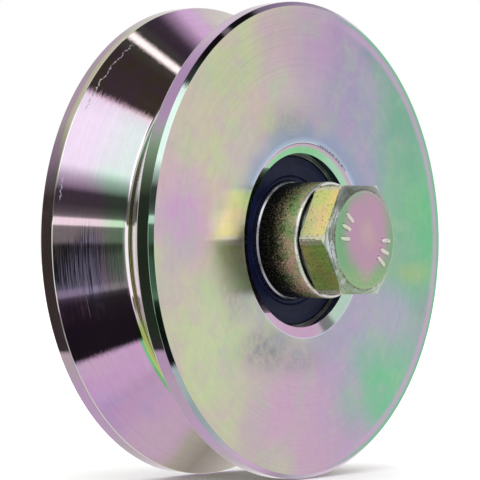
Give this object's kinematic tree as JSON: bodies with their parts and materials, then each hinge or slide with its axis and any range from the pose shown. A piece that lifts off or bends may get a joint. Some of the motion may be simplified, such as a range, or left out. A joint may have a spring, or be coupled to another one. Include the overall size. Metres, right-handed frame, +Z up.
{
  "type": "gate wheel",
  "caption": "V-groove steel wheel on a hexagon bolt with sealed ball bearings, for a sliding gate to roll along its ground track.",
  "frame": {"origin": "centre of the wheel: on its axis, midway between its two faces", "axes": "+Y along the axle, from the bolt's head to its threaded tail; +Z up; the wheel turns about Y"},
  "size_m": [0.098, 0.0787, 0.098],
  "materials": {
    "wheel_zinc": "turned steel, iridescent yellow-green zinc chromate, satin",
    "bush_zinc": "turned steel, dark olive zinc chromate",
    "bolt_zinc": "forged steel, yellow zinc chromate, satin",
    "washer_zinc": "stamped steel, yellow zinc chromate",
    "spring_steel_black": "spring steel, black oxide",
    "bearing_steel": "ground bearing steel",
    "ball_steel": "polished",
    "cage_steel": "pressed sheet",
    "seal_rubber": "satin black nitrile rubber"
  },
  "bodies": {
    "axle": {"axle_bolt": "bolt_zinc", "front_bush": "bush_zinc", "back_bush": "bush_zinc", "front_inner_ring": "bearing_steel", "back_inner_ring": "bearing_steel", "plain_washer": "washer_zinc", "spring_washer": "washer_zinc", "axle_nut": "bolt_zinc"},
    "wheel": {"wheel_body": "wheel_zinc", "bearing_circlip": "spring_steel_black", "front_outer_ring": "bearing_steel", "front_seal_outboard": "seal_rubber", "front_seal_inboard": "seal_rubber", "back_outer_ring": "bearing_steel", "back_seal_outboard": "seal_rubber", "back_seal_inboard": "seal_rubber"},
    "front_ball_set": {"front_balls": "ball_steel", "front_cage_outboard": "cage_steel", "front_cage_inboard": "cage_steel", "front_cage_rivets": "cage_steel"},
    "back_ball_set": {"back_balls": "ball_steel", "back_cage_outboard": "cage_steel", "back_cage_inboard": "cage_steel", "back_cage_rivets": "cage_steel"}
  },
  "joints": [
    {"name": "wheel_spin", "type": "hinge", "parent": "axle", "child": "wheel", "pos_m": [0, 0, 0], "axis": [0, 1, 0], "continuous": true},
    {"name": "front_cage_orbit", "type": "hinge", "parent": "axle", "child": "front_ball_set", "pos_m": [0, -0.006, 0], "axis": [0, 1, 0], "continuous": true},
    {"name": "back_cage_orbit", "type": "hinge", "parent": "axle", "child": "back_ball_set", "pos_m": [0, 0.006, 0], "axis": [0, 1, 0], "continuous": true}
  ],
  "couplings": [
    {"joint": "front_cage_orbit", "follows": "wheel_spin", "ratio": 0.6184},
    {"joint": "back_cage_orbit", "follows": "wheel_spin", "ratio": 0.6184}
  ]
}
